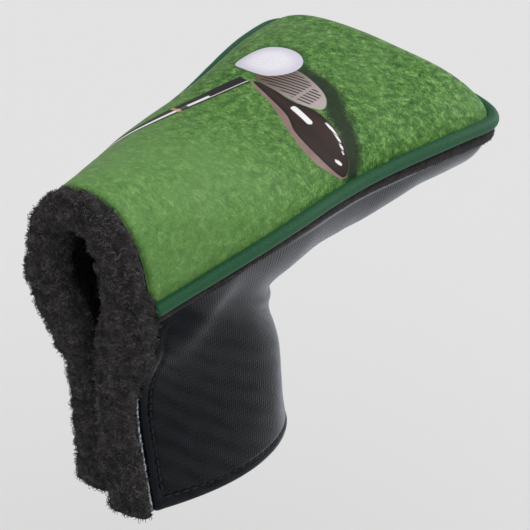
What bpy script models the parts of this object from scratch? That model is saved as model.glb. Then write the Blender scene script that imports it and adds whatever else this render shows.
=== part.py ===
"""Blade putter head cover: a soft L-shaped pocket that slips over the club head and closes round the shaft.

The toe points along +X, +Z is up and the near side faces -Y. The origin is where the shaft leaves the neck,
on the plane of the bottom hem. Lengths are in millimetres here and become metres when a mesh is made.
"""

import bmesh
import bpy
import numpy as np
from mathutils import Matrix, Vector

MM = 0.001
NEAR = -1
FAR = 1

# Outline of the seam round the lid
HEEL_X = -34.0
TOE_X = 89.0
TOE_CORNER = 12.0  # the outline starts to round this far before the toe
OUTLINE_POWER = 3.4
HALF_WIDTH_AT = ([HEEL_X, 1, 36, 71, TOE_X], [17.5, 25.6, 27.9, 33.9, 35.6])
SEAM_HEIGHT_AT = ([HEEL_X, 1, 36, 71, TOE_X], [66.0, 70.2, 69.0, 65.9, 62.4])

# Crown of the lid
RIDGE_END = TOE_X - 13.0
CROWN_POWER = 2.3
CROWN_LEAN = 2.0  # the crown overhangs the heel end of the seam by this much
CROWN_HEIGHT_AT = ([HEEL_X, 6, 46, RIDGE_END], [31.5, 18.0, 16.5, 13.5])

# Long walls
SOLE_FULLNESS = 0.66
NECK_HALF = 24.0
FRONT_REACH = 27.0
RIM_REACH = 30.0
# The blade's section turns into the neck's between these distances from the heel end of the seam
TOP_TURN = (-34.0, 24.0)
FOOT_TURN = (-36.0, -18.0)
# Centre line of the underside and of the neck's front, from the toe to the hem: x and z
LOWER_LINE = [(TOE_X - 11.5, 44.5), (62.0, 45.6), (46.0, 44.2), (34.0, 44.8), (24.0, 44.6), (20.5, 33.0),
              (21.8, 14.0), (24.6, 0.0)]
BLADE_X = 62.0  # the sections are upright here and at the underside's start
UNDERSIDE_X = 30.0
BEND_SHARE = 0.27  # of the way from the underside's start to the hem, where the centre line bends down
BEND_HALF = 4.0  # the sections fan out over this much of the centre line on each side of the bend
FAN_LENGTH = 26.0  # and over this much of the seam before the heel
# The rim beside the slit: x and y, at these drops below the heel end of the seam
RIM_DROPS = (0.0, 16.0, 27.0, 36.0, 49.0, 66.0)
RIM_POINTS = {
    NEAR: [(-34.0, -17.5), (-33.5, -15.3), (-33.2, -11.6), (-33.0, -11.0), (-32.8, -12.6), (-32.6, -15.2)],
    FAR: [(-34.0, 17.5), (-32.6, 12.8), (-31.6, 8.6), (-31.2, 7.8), (-30.6, 8.5), (-30.0, 9.6)],
}

# Layers, as depths under the outer surface
GAP = 0.3
PANEL = (0.0, 1.0)
FOAM = (PANEL[1] + GAP, PANEL[1] + GAP + 2.0)
LINING = (FOAM[1] + GAP, FOAM[1] + GAP + 2.6)

# Trim along the seam
PIPING_RADIUS = 1.75
PIPING_BORE = 1.05
CORD_RADIUS = 0.7
PIPING_OUT = 1.0
WELT_RADIUS = 0.9
WELT_DROP = 1.3
WELT_OUT = 0.5
WELT_SHORT = 7.5  # the welt ends this far before the heel
LID_PANEL_EDGE = 3.8
WALL_PANEL_EDGE = 3.3
RIM_PANEL_EDGE = 0.8
SEAM_HALF_GAP = 0.25
RIM_INNER_EDGE = 0.3
RIM_EASE = (1.0, 9.0)  # the sewn edge turns into the rim's edge over this stretch below the heel

# Fleece lip round the heel opening
LIP_POWER = 2.6
LIP_SIDES = 10
LIP_THICKNESS = {NEAR: [11.0, 12.8, 10.2, 9.7, 11.2, 12.4], FAR: [11.0, 12.6, 9.4, 8.7, 9.4, 9.6]}
LIP_REACH = [7.5, 6.5, 6.0, 6.0, 5.0, 3.2]
LIP_ARCH_THICKNESS = 9.0
SLIT_Y = -1.1

# The flaps fold along a line from the heel end of the seam to the hem
CREASE_TOP = (HEEL_X, 62.5)
CREASE_FOOT = (8.0, 0.0)
CREASE_OUT = 26.0

MAGNET_RADIUS = 5.0
MAGNET_THICKNESS = 1.4
MAGNET_FROM_RIM = 7.0
MAGNET_SIDES = 20
MAGNET_HEIGHTS = {"lower": 19.0, "upper": 41.0}

THREAD_WIDTH = 0.6
THREAD_THICKNESS = 0.4
STITCH_STEP = 3.4
STITCH_INSET = 4.0
RIM_ROW_START = 6.0  # below the heel

TOE_SHARES = (0.0, 0.24, 0.46, 0.62, 0.72, 0.80, 0.88)  # stations, as shares of the way to the corner's start
TOE_SOFTENING = 6
SEAM_STEPS = 16
RIM_STEPS = 7
WALL_STEPS = 6
CROWN_STEPS = 6

MATERIALS = {
    "print_fabric": ((0.10, 0.26, 0.05), 0.75, 0.0),
    "green_binding": ((0.01, 0.10, 0.03), 0.6, 0.0),
    "black_trim": ((0.01, 0.01, 0.01), 0.8, 0.0),
    "carbon_panel": ((0.025, 0.03, 0.04), 0.5, 0.0),
    "foam": ((0.5, 0.5, 0.48), 0.95, 0.0),
    "fleece": ((0.03, 0.03, 0.03), 1.0, 0.0),
    "thread": ((0.02, 0.02, 0.025), 0.7, 0.0),
    "magnet_plate": ((0.6, 0.6, 0.62), 0.3, 1.0),
}


def smooth(stations, values):
    """A smooth curve through the values, one for each station, level past its ends."""
    stations = np.asarray(stations, float)
    values = np.asarray(values, float)
    slopes = np.gradient(values, stations, axis=0)

    def at(where):
        where = np.clip(where, stations[0], stations[-1])
        i = int(np.clip(np.searchsorted(stations, where, side="right") - 1, 0, len(stations) - 2))
        span = stations[i + 1] - stations[i]
        t = (where - stations[i]) / span
        bend = slopes[i] * t * (1 - t) ** 2 + slopes[i + 1] * t * t * (t - 1)
        return values[i] + (values[i + 1] - values[i]) * t * t * (3 - 2 * t) + span * bend

    return at


def ease(start, end, value):
    t = np.clip((value - start) / (end - start), 0, 1)
    return t * t * (3 - 2 * t)


half_width = smooth(*HALF_WIDTH_AT)
seam_height = smooth(*SEAM_HEIGHT_AT)
crown_height = smooth(*CROWN_HEIGHT_AT)
lip_reach = smooth(RIM_DROPS, LIP_REACH)
lip_thickness = {side: smooth(RIM_DROPS, values) for side, values in LIP_THICKNESS.items()}
rim_point = {side: smooth(RIM_DROPS, values) for side, values in RIM_POINTS.items()}


class Path:
    """A fine polyline that is read by the distance along it."""

    def __init__(self, points):
        self.points = np.asarray(points, float)
        steps = np.linalg.norm(np.diff(self.points, axis=0), axis=1)
        self.lengths = np.concatenate([[0.0], np.cumsum(steps)])
        self.length = self.lengths[-1]

    def at(self, distance):
        return np.array([np.interp(distance, self.lengths, self.points[:, k]) for k in range(3)])

    def where_x(self, x, before):
        """The distance at which the path has this x, on its stretch before the given distance."""
        wanted = self.lengths <= before
        xs = self.points[wanted, 0]
        order = np.argsort(xs)
        return float(np.interp(x, xs[order], self.lengths[wanted][order]))


def lower_path():
    line = smooth(range(len(LOWER_LINE)), LOWER_LINE)
    flat = [line(t) for t in np.linspace(0, len(LOWER_LINE) - 1, 240)]
    return Path([(x, 0.0, z) for x, z in flat])


class Wall:
    """The outer surface of one long side, as sections from its upper edge down to the centre line."""

    def __init__(self, side):
        self.side = side
        power = 2 / OUTLINE_POWER
        points = []
        for turn in np.linspace(np.pi / 2, 0, 60):
            x = TOE_X - TOE_CORNER * (1 - np.sin(turn) ** power)
            points.append((x, side * half_width(x) * np.cos(turn) ** power, seam_height(x)))
        self.corner = Path(points).length
        for x in np.linspace(TOE_X - TOE_CORNER, HEEL_X, 160)[1:]:
            points.append((x, side * half_width(x), seam_height(x)))
        self.heel = Path(points).length
        for drop in np.linspace(0, RIM_DROPS[-1], 80)[1:]:
            x, y = rim_point[side](drop)
            points.append((x, y, RIM_DROPS[-1] - drop))
        self.upper = Path(points)
        self.lower = lower_path()
        self.foot = self.match_feet()

    def match_feet(self):
        """Pairs a distance along the upper edge with one along the centre line."""
        end = self.upper.length
        bottom = self.lower.length
        underside = self.lower.where_x(UNDERSIDE_X, bottom / 2)
        bend = underside + BEND_SHARE * (bottom - underside)
        pairs = [(self.corner, 0.0)]
        pairs.append((self.upper.where_x(BLADE_X, self.heel), self.lower.where_x(BLADE_X, bottom / 2)))
        pairs.append((self.upper.where_x(UNDERSIDE_X + 2.0, self.heel), underside))
        pairs.append((self.heel - FAN_LENGTH, bend - BEND_HALF))
        pairs.append((self.heel, bend + BEND_HALF))
        pairs.append(((self.heel + end) / 2, (bend + bottom) / 2))
        pairs.append((end, bottom))
        return smooth([above for above, below in pairs], [below for above, below in pairs])

    def section(self, distance):
        """The line down the wall from this distance along its upper edge."""
        top = self.upper.at(distance)
        in_toe = distance < self.corner
        foot = self.lower.at(0.0 if in_toe else self.foot(distance))
        neck = ease(self.heel + TOP_TURN[0], self.heel + TOP_TURN[1], distance)
        neck_foot = ease(self.heel + FOOT_TURN[0], self.heel + FOOT_TURN[1], distance)
        fall = top - foot
        # Puts the middle of a neck section at NECK_HALF from the centre plane
        flare = (8 * NECK_HALF - 4 * abs(top[1]) - 3 * FRONT_REACH) / 3
        down = np.array([0, 0, -SOLE_FULLNESS * fall[2]])
        back = np.array([RIM_REACH, self.side * flare, 0])
        under = SOLE_FULLNESS * np.array([fall[0] if in_toe else 0, fall[1], 0])
        front = np.array([0, self.side * FRONT_REACH, 0])
        handle_top = top + (1 - neck) * down + neck * back
        handle_foot = foot + (1 - neck_foot) * under + neck_foot * front
        t = np.linspace(0, 1, 80)[:, None]
        curve = (1 - t) ** 3 * top + 3 * t * (1 - t) ** 2 * handle_top
        return Path(curve + 3 * t**2 * (1 - t) * handle_foot + t**3 * foot)

    def crown(self, distance):
        """The line up the lid from this distance along the seam to the ridge."""
        top = self.upper.at(distance)
        ridge_x = min(top[0], RIDGE_END)
        turn = np.linspace(0, np.pi / 2, 60)
        across = np.cos(turn) ** (2 / CROWN_POWER)
        rise = np.sin(turn) ** (2 / CROWN_POWER)
        x = ridge_x + (top[0] - ridge_x) * across
        z = np.array([seam_height(value) for value in x]) + crown_height(ridge_x) * rise
        lean = CROWN_LEAN * ease(0.0, HEEL_X, top[0])
        return Path(np.stack([x - lean * rise, top[1] * across, z], -1))

    def stations(self):
        """Distances along the upper edge: the toe's, the seam's, then the rim's down to the hem."""
        toe = self.corner * np.array(TOE_SHARES)
        seam = np.linspace(self.corner, self.heel, SEAM_STEPS + 1)
        rim = np.linspace(self.heel, self.upper.length, RIM_STEPS + 1)
        return np.concatenate([toe, seam, rim[1:]])

    def rows(self, distance, length):
        """Distances down a section: the inner layers' edge, the panel's edge, then even steps to the foot."""
        rim = ease(self.heel + RIM_EASE[0], self.heel + RIM_EASE[1], distance)
        inner = SEAM_HALF_GAP + rim * (RIM_INNER_EDGE - SEAM_HALF_GAP)
        panel = WALL_PANEL_EDGE + rim * (RIM_PANEL_EDGE - WALL_PANEL_EDGE)
        return np.concatenate([[inner], np.linspace(panel, length, WALL_STEPS + 1)])


class Form:
    """The cover's outer surface as faces on shared corners, each face tagged with its piece and its row.

    Its normals turn gently at the toe's corners, so that the inner layers do not fold over there.
    """

    def __init__(self):
        self.points = []
        self.index = {}
        self.faces = []
        self.heel_edge = set()
        self.seam_pairs = []
        self.toe_lines = []

    def corner(self, point):
        key = tuple(np.round(point, 4) + 0.0)
        if key not in self.index:
            self.index[key] = len(self.points)
            self.points.append(np.asarray(point, float))
        return self.index[key]

    def add_grid(self, grid, side, piece):
        numbers = [[self.corner(point) for point in line] for line in grid]
        if piece != "seam":
            self.toe_lines.extend(list(line[:len(TOE_SHARES) + 3]) for line in zip(*numbers))
        for i in range(len(grid) - 1):
            for row in range(len(grid[0]) - 1):
                a, b = numbers[i][row], numbers[i][row + 1]
                c, d = numbers[i + 1][row + 1], numbers[i + 1][row]
                for loop in ([a, b, c], [a, c, d]):
                    if len(set(loop)) == 3:
                        self.faces.append((loop if side == FAR else loop[::-1], piece, side, row))

    def finish(self):
        self.points = np.array(self.points)
        normals = np.zeros_like(self.points)
        for loop, *_ in self.faces:
            corners = self.points[loop]
            around = np.cross(corners - corners[0], np.roll(corners, -1, axis=0) - corners[0]).sum(axis=0)
            normals[loop] += around
        middle = np.abs(self.points[:, 1]) < 1e-6
        normals[middle, 1] = 0
        normals[sorted(self.heel_edge), 0] = 0
        for above, below in self.seam_pairs:
            shared = normals[above] + normals[below]
            shared[2] = 0
            normals[above] = shared
            normals[below] = shared
        normals = normals / np.linalg.norm(normals, axis=1, keepdims=True)
        for _ in range(TOE_SOFTENING):
            for line in self.toe_lines:
                along = normals[line]
                normals[line[1:-1]] = (along[:-2] + 2 * along[1:-1] + along[2:]) / 4
        self.normals = normals / np.linalg.norm(normals, axis=1, keepdims=True)


def make_form(walls):
    form = Form()
    for side, wall in walls.items():
        crown_grid = []
        seam_grid = []
        wall_grid = []
        for distance in wall.stations():
            section = wall.section(distance)
            rows = wall.rows(distance, section.length)
            wall_grid.append([section.at(row) for row in rows])
            if distance <= wall.heel + 1e-6:
                crown = wall.crown(distance)
                even = np.linspace(LID_PANEL_EDGE, crown.length, CROWN_STEPS + 1)
                heights = np.concatenate([[SEAM_HALF_GAP], even])
                crown_grid.append([crown.at(height) for height in heights])
                seam_grid.append([wall_grid[-1][0], crown_grid[-1][0]])
        form.add_grid(wall_grid, side, "wall")
        form.add_grid(crown_grid, -side, "lid")
        form.add_grid(seam_grid, -side, "seam")
        form.heel_edge.update(form.corner(point) for point in crown_grid[-1])
        form.seam_pairs.extend((form.corner(above), form.corner(below)) for below, above in seam_grid)
    form.finish()
    return form


def layer(form, depths, piece, side=None, first_row=0):
    """A closed sheet between two depths under the faces of a piece, from a given row on."""
    wanted = []
    for loop, face_piece, face_side, row in form.faces:
        if face_piece == piece and row >= first_row and side in (None, face_side):
            wanted.append(loop)
    numbers = sorted({n for loop in wanted for n in loop})
    place = {n: k for k, n in enumerate(numbers)}
    points = form.points[numbers]
    normals = form.normals[numbers]
    outer = points - depths[0] * normals
    inner = points - depths[1] * normals
    if side is not None:
        middle = np.abs(points[:, 1]) < 1e-6
        outer[middle, 1] = side * GAP / 2
        inner[middle, 1] = side * GAP / 2
    count = len(numbers)
    faces = []
    edges = {}
    for loop in wanted:
        ids = [place[n] for n in loop]
        faces.append(ids)
        faces.append([count + n for n in reversed(ids)])
        for a, b in zip(ids, ids[1:] + ids[:1]):
            edges[(a, b)] = True
    for a, b in edges:
        if (b, a) not in edges:
            faces.append([b, a, count + a, count + b])
    return mesh_of(np.concatenate([outer, inner]), faces)


def mesh_of(points, faces):
    bm = bmesh.new()
    corners = [bm.verts.new(point) for point in points]
    for loop in faces:
        bm.faces.new([corners[n] for n in loop])
    return bm


def crease_plane():
    """A point of the crease plane and its normal, which points to the pocket's side."""
    along = np.array([CREASE_TOP[0] - CREASE_FOOT[0], 0, CREASE_TOP[1] - CREASE_FOOT[1]])
    normal = np.array([along[2], 0, -along[0]]) / np.linalg.norm(along)
    return np.array([CREASE_FOOT[0], 0, CREASE_FOOT[1]]), normal


def cut(bm, point, normal):
    """Cuts away what lies past the plane, and closes the cut."""
    everything = bm.verts[:] + bm.edges[:] + bm.faces[:]
    bmesh.ops.bisect_plane(bm, geom=everything, dist=1e-5, plane_co=point, plane_no=normal, clear_outer=True)
    bmesh.ops.holes_fill(bm, edges=[edge for edge in bm.edges if edge.is_boundary], sides=0)
    return bm


def pocket_part(bm):
    point, normal = crease_plane()
    return cut(bm, point + normal * GAP / 2, -normal)


def flap_part(bm):
    point, normal = crease_plane()
    return cut(bm, point - normal * GAP / 2, normal)


def tube(rings):
    """A solid through closed rings of points, with flat ends."""
    sides = len(rings[0])
    faces = [list(range(sides))]
    for i in range(len(rings) - 1):
        for k in range(sides):
            a = i * sides + k
            b = i * sides + (k + 1) % sides
            faces.append([b, a, a + sides, b + sides])
    last = (len(rings) - 1) * sides
    faces.append([last + k for k in reversed(range(sides))])
    return mesh_of(np.concatenate(rings), faces)


def pipe(outer, inner):
    """A hollow tube between two matching lists of rings, open at both ends."""
    sides = len(outer[0])
    shift = len(outer) * sides
    faces = []
    for k in range(sides):
        after = (k + 1) % sides
        for i in range(len(outer) - 1):
            a = i * sides + k
            b = i * sides + after
            faces.append([b, a, a + sides, b + sides])
            faces.append([shift + a, shift + b, shift + b + sides, shift + a + sides])
        last = (len(outer) - 1) * sides
        faces.append([k, after, shift + after, shift + k])
        faces.append([last + after, last + k, shift + last + k, shift + last + after])
    return mesh_of(np.concatenate(outer + inner), faces)


def trim_line(walls, drop, out, short=0.0):
    """Points beside the seam, near heel to toe to far heel, below it by the drop and proud of the wall.

    The line stops this much short of the heel.
    """
    points = []
    for side in (NEAR, FAR):
        wall = walls[side]
        distances = [d for d in wall.stations() if d < wall.heel - short - 1.0]
        distances.append(wall.heel - short)
        line = []
        for distance in distances:
            here = wall.upper.at(distance)
            ahead = wall.upper.at(min(distance + 0.5, wall.heel)) - wall.upper.at(max(distance - 0.5, 0.0))
            outward = np.array([ahead[1], -ahead[0], 0]) * side
            if distance == 0.0:
                outward = np.array([1.0, 0, 0])
            outward = outward / np.linalg.norm(outward)
            line.append(here + out * outward - np.array([0, 0, drop]))
        points.extend(line[::-1] if side == NEAR else line[1:])
    return np.array(points)


def rings_along(points, radius, sides):
    """Round rings square to a path that stays roughly level."""
    rings = []
    for i, point in enumerate(points):
        ahead = points[min(i + 1, len(points) - 1)] - points[max(i - 1, 0)]
        ahead = ahead / np.linalg.norm(ahead)
        across = np.cross(ahead, [0, 0, 1])
        across = across / np.linalg.norm(across)
        up = np.cross(across, ahead)
        turns = np.arange(sides) * 2 * np.pi / sides
        rings.append(point + radius * (np.outer(np.cos(turns), across) + np.outer(np.sin(turns), up)))
    return rings


def lip_line(walls):
    """The heel opening's edge, near hem to arch to far hem: point, thickness and reach at each station."""
    stations = []
    for side in (NEAR, FAR):
        wall = walls[side]
        part = []
        for distance in np.linspace(wall.upper.length, wall.heel, 9):
            drop = min(distance - wall.heel, RIM_DROPS[-1])
            point = wall.upper.at(distance)
            part.append((point, lip_thickness[side](drop), lip_reach(drop)))
        crown = wall.crown(wall.heel)
        steps = np.linspace(0, crown.length, 8)[1:]
        for height in steps:
            share = ease(0, crown.length, height)
            thickness = part[8][1] + share * (LIP_ARCH_THICKNESS - part[8][1])
            part.append((crown.at(height), thickness, LIP_REACH[0]))
        stations.extend(part if side == NEAR else part[-2::-1])
    return stations


def lip_mesh(walls):
    stations = lip_line(walls)
    turns = np.arange(LIP_SIDES) * 2 * np.pi / LIP_SIDES
    power = 2 / LIP_POWER
    across = np.sign(np.cos(turns)) * np.abs(np.cos(turns)) ** power
    deep = np.sign(np.sin(turns)) * np.abs(np.sin(turns)) ** power
    rings = []
    for i, (point, thickness, reach) in enumerate(stations):
        ahead = stations[min(i + 1, len(stations) - 1)][0] - stations[max(i - 1, 0)][0]
        inward = np.cross(ahead, [1, 0, 0])
        inward = inward / np.linalg.norm(inward)
        middle = point + inward * thickness / 2 - np.array([reach / 2 + GAP, 0, 0])
        ring = middle + np.outer(across, [reach / 2, 0, 0]) + np.outer(deep, inward * (thickness / 2 - 0.1))
        rings.append(ring)
    return tube(rings)


def surface_frame(wall, distance, down):
    """A point of a wall, its outward normal and its direction down the section."""
    point = wall.section(distance).at(down)
    beside = wall.section(distance - 1.0).at(down) - wall.section(distance + 1.0).at(down)
    below = wall.section(distance).at(down + 1.0) - wall.section(distance).at(down - 1.0)
    normal = np.cross(beside, below) * wall.side
    return point, normal / np.linalg.norm(normal), below / np.linalg.norm(below)


def thread_row(places):
    """A flat bead of thread that lies just proud of the panel, through (point, outward normal) places."""
    points = np.array([point + (GAP + THREAD_THICKNESS / 2) * normal for point, normal in places])
    rings = []
    for i, (point, (_, normal)) in enumerate(zip(points, places)):
        ahead = points[min(i + 1, len(points) - 1)] - points[max(i - 1, 0)]
        across = np.cross(normal, ahead)
        across = across / np.linalg.norm(across) * THREAD_WIDTH / 2
        up = normal * THREAD_THICKNESS / 2
        above, below = point + up, point - up
        rings.append(np.array([above + across, above - across, below - across, below + across]))
    return tube(rings)


def hem_row(wall):
    """A row of thread along the hem, from the rim's row to the front seam."""
    distance = wall.upper.length - STITCH_INSET
    downs = np.arange(STITCH_INSET, wall.section(distance).length - STITCH_STEP / 2, STITCH_STEP)
    return thread_row([surface_frame(wall, distance, down)[:2] for down in downs])


def rim_row(wall):
    """A row of thread beside the rim, from under the seam to just above the hem's row."""
    distances = np.arange(wall.heel + RIM_ROW_START, wall.upper.length - STITCH_INSET - 1.0, STITCH_STEP)
    return thread_row([surface_frame(wall, distance, STITCH_INSET)[:2] for distance in distances])


def magnet(wall, height):
    """A disc between the panel and the lining, near the rim and this far above the hem."""
    bm = bmesh.new()
    depth = (PANEL[1] + LINING[0]) / 2
    point, normal, below = surface_frame(wall, wall.upper.length - height, MAGNET_FROM_RIM)
    across = np.cross(normal, below)
    frame = np.stack([below, across, normal], axis=1)
    matrix = Matrix.Translation(Vector(point - depth * normal)) @ Matrix(frame.tolist()).to_4x4()
    bmesh.ops.create_cone(bm, cap_ends=True, segments=MAGNET_SIDES, radius1=MAGNET_RADIUS, radius2=MAGNET_RADIUS,
                          depth=MAGNET_THICKNESS, matrix=matrix)
    return bm


def make_materials():
    made = {}
    for name, (colour, roughness, metallic) in MATERIALS.items():
        material = bpy.data.materials.new(name)
        material.use_nodes = True
        shader = material.node_tree.nodes["Principled BSDF"]
        shader.inputs["Base Color"].default_value = (*colour, 1.0)
        shader.inputs["Roughness"].default_value = roughness
        shader.inputs["Metallic"].default_value = metallic
        made[name] = material
    return made


def add_object(name, bm, material, parent=None):
    """Makes an object from a mesh in millimetres, with its origin where its parent's is."""
    origin = Vector(parent.location) if parent else Vector((0, 0, 0))
    bmesh.ops.scale(bm, vec=(MM, MM, MM), verts=bm.verts)
    bmesh.ops.translate(bm, vec=-origin, verts=bm.verts)
    bmesh.ops.recalc_face_normals(bm, faces=bm.faces)
    bmesh.ops.triangulate(bm, faces=[face for face in bm.faces if len(face.verts) > 4])
    mesh = bpy.data.meshes.new(name)
    bm.to_mesh(mesh)
    bm.free()
    mesh.shade_smooth()
    mesh.set_sharp_from_angle(angle=np.radians(40))
    mesh.materials.append(material)
    obj = bpy.data.objects.new(name, mesh)
    obj.parent = parent
    bpy.context.scene.collection.objects.link(obj)
    return obj


def add_fold_axis(side, label):
    """An empty in the middle of the crease, just outside the wall, with its Z along the fold axis."""
    middle = np.array([(CREASE_TOP[0] + CREASE_FOOT[0]) / 2, side * CREASE_OUT, CREASE_TOP[1] / 2])
    empty = bpy.data.objects.new(label + "_fold_axis", None)
    empty.location = Vector(middle * MM)
    empty.empty_display_size = 0.02
    bpy.context.scene.collection.objects.link(empty)
    return empty


def build_pocket(form, walls, materials):
    carbon = materials["carbon_panel"]
    add_object("printed_top_panel", layer(form, PANEL, "lid", first_row=1), materials["print_fabric"])
    add_object("top_foam", layer(form, FOAM, "lid"), materials["foam"])
    add_object("top_lining", layer(form, LINING, "lid"), materials["fleece"])
    for side, label in ((NEAR, "near"), (FAR, "far")):
        panel = layer(form, PANEL, "wall", side, first_row=1)
        foam = layer(form, FOAM, "wall", side)
        lining = layer(form, LINING, "wall", side)
        add_object(label + "_side_panel", pocket_part(panel), carbon)
        add_object(label + "_side_foam", pocket_part(foam), materials["foam"])
        add_object(label + "_side_lining", pocket_part(lining), materials["fleece"])
    line = trim_line(walls, -PIPING_RADIUS, PIPING_OUT)
    hollow = pipe(rings_along(line, PIPING_RADIUS, 8), rings_along(line, PIPING_BORE, 8))
    add_object("piping_cover", hollow, materials["green_binding"])
    add_object("piping_cord", tube(rings_along(line, CORD_RADIUS, 6)), materials["black_trim"])
    welt = rings_along(trim_line(walls, WELT_DROP, WELT_OUT, WELT_SHORT), WELT_RADIUS, 6)
    add_object("seam_welt", tube(welt), materials["black_trim"])
    add_object("arch_lip", pocket_part(lip_mesh(walls)), materials["fleece"])
    for side, label in ((NEAR, "near"), (FAR, "far")):
        add_object(label + "_front_hem_thread", pocket_part(hem_row(walls[side])), materials["thread"])


def build_flap(form, walls, side, label, axis, materials):
    wall = walls[side]
    panel = layer(form, PANEL, "wall", side, first_row=1)
    add_object(label + "_flap_panel", flap_part(panel), materials["carbon_panel"], axis)
    foam = layer(form, FOAM, "wall", side, first_row=2)
    add_object(label + "_flap_foam", flap_part(foam), materials["foam"], axis)
    lining = layer(form, LINING, "wall", side)
    add_object(label + "_flap_lining", flap_part(lining), materials["fleece"], axis)
    lip = cut(flap_part(lip_mesh(walls)), (0, SLIT_Y + side * GAP / 2, 0), (0, -side, 0))
    add_object(label + "_flap_lip", lip, materials["fleece"], axis)
    for place, height in MAGNET_HEIGHTS.items():
        add_object(label + "_" + place + "_magnet", magnet(wall, height), materials["magnet_plate"], axis)
    add_object(label + "_hem_thread", flap_part(hem_row(wall)), materials["thread"], axis)
    add_object(label + "_rim_thread", flap_part(rim_row(wall)), materials["thread"], axis)


for old in list(bpy.data.objects):
    bpy.data.objects.remove(old, do_unlink=True)

WALLS = {side: Wall(side) for side in (NEAR, FAR)}
FORM = make_form(WALLS)
COLOURS = make_materials()
build_pocket(FORM, WALLS, COLOURS)
for SIDE, LABEL in ((NEAR, "near"), (FAR, "far")):
    build_flap(FORM, WALLS, SIDE, LABEL, add_fold_axis(SIDE, LABEL), COLOURS)
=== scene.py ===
"""Looks of a blade putter head cover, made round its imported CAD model.

The toe points along +X, +Z is up and the near side faces -Y. Lengths are in millimetres here and become
metres when a mesh is made. The outer surface is the CAD model's own, read at a finer step, and every layer of
cloth is a closed sheet between two depths under it.
"""

import bmesh
import bpy
import numpy as np
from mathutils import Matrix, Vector, noise


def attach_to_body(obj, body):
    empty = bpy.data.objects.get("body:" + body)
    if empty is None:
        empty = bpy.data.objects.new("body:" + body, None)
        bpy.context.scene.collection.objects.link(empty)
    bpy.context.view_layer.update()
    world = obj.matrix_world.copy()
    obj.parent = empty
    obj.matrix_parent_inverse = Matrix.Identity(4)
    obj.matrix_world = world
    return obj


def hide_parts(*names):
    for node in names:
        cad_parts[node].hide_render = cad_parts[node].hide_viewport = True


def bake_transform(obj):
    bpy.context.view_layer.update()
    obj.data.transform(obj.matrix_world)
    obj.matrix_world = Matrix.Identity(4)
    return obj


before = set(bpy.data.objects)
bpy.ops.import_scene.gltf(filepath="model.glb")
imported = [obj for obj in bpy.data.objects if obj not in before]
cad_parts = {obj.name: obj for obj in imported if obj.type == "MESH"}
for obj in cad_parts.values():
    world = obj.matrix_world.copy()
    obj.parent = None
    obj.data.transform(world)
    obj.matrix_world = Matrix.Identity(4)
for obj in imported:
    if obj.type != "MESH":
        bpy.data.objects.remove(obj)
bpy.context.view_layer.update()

MM = 0.001
NEAR = -1
FAR = 1
SIDES = {NEAR: "near", FAR: "far"}

# ---------------------------------------------------------------- the CAD model's driving dimensions
HEEL_X = -34.0
TOE_X = 89.0
TOE_CORNER = 12.0
OUTLINE_POWER = 3.4
HALF_WIDTH_AT = ([HEEL_X, 1, 36, 71, TOE_X], [17.5, 25.6, 27.9, 33.9, 35.6])
SEAM_HEIGHT_AT = ([HEEL_X, 1, 36, 71, TOE_X], [66.0, 70.2, 69.0, 65.9, 62.4])
RIDGE_END = TOE_X - 13.0
CROWN_POWER = 2.3
CROWN_LEAN = 2.0
CROWN_HEIGHT_AT = ([HEEL_X, 6, 46, RIDGE_END], [31.5, 18.0, 16.5, 13.5])
SOLE_FULLNESS = 0.66
NECK_HALF = 24.0
FRONT_REACH = 27.0
RIM_REACH = 30.0
TOP_TURN = (-34.0, 24.0)
FOOT_TURN = (-36.0, -18.0)
LOWER_LINE = [(TOE_X - 11.5, 44.5), (62.0, 45.6), (46.0, 44.2), (34.0, 44.8), (24.0, 44.6), (20.5, 33.0),
              (21.8, 14.0), (24.6, 0.0)]
BLADE_X = 62.0
UNDERSIDE_X = 30.0
BEND_SHARE = 0.27
BEND_HALF = 4.0  # the sections fan out over this much of the centre line on each side of the bend
FAN_LENGTH = 26.0  # and over this much of the seam before the heel
RIM_DROPS = (0.0, 16.0, 27.0, 36.0, 49.0, 66.0)
RIM_POINTS = {
    NEAR: [(-34.0, -17.5), (-33.5, -15.3), (-33.2, -11.6), (-33.0, -11.0), (-32.8, -12.6), (-32.6, -15.2)],
    FAR: [(-34.0, 17.5), (-32.6, 12.8), (-31.6, 8.6), (-31.2, 7.8), (-30.6, 8.5), (-30.0, 9.6)],
}
LIP_POWER = 2.6
LIP_THICKNESS = {NEAR: [11.0, 12.8, 10.2, 9.7, 11.2, 12.4], FAR: [11.0, 12.6, 9.4, 8.7, 9.4, 9.6]}
LIP_REACH = [7.5, 6.5, 6.0, 6.0, 5.0, 3.2]
LIP_ARCH_THICKNESS = 9.0
SLIT_Y = -1.1
CREASE_TOP = (HEEL_X, 62.5)
CREASE_FOOT = (8.0, 0.0)
MAGNET_FROM_RIM = 7.0
MAGNET_HEIGHTS = {"lower": 19.0, "upper": 41.0}
PIPING_RADIUS = 1.75
PIPING_OUT = 1.0
STITCH_INSET = 4.0

# ---------------------------------------------------------------- cloth
PANEL_THICKNESS = 1.0
FOAM_DEPTHS = (1.3, 3.3)
FOAM_EDGE = 0.2  # how thick the foam still is where it is squeezed beside an edge
LINING_DEPTHS = (3.6, 6.2)
FOLD = 1.45  # radius of the turned edge at the hem, the rim and the arch
TUCK = 0.6  # radius of the edges that are sewn into a seam
FOLD_START = 2.0  # the panel is fully doubled this far from a turned edge
FOLD_ALLOWANCE = 7.0  # and single from here on
LINING_SHARE = 0.9  # the lining's flat area, as a share of the surface that it lies under
GROOVE = 0.4
PILE_LENGTH = 1.7
RIM_STITCH_INSET = 3.3
STITCH_PITCH = 2.5
GLINT_DROP = 4.9  # a painted highlight, a thread of light, lies in the panel this far below the seam
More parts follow.
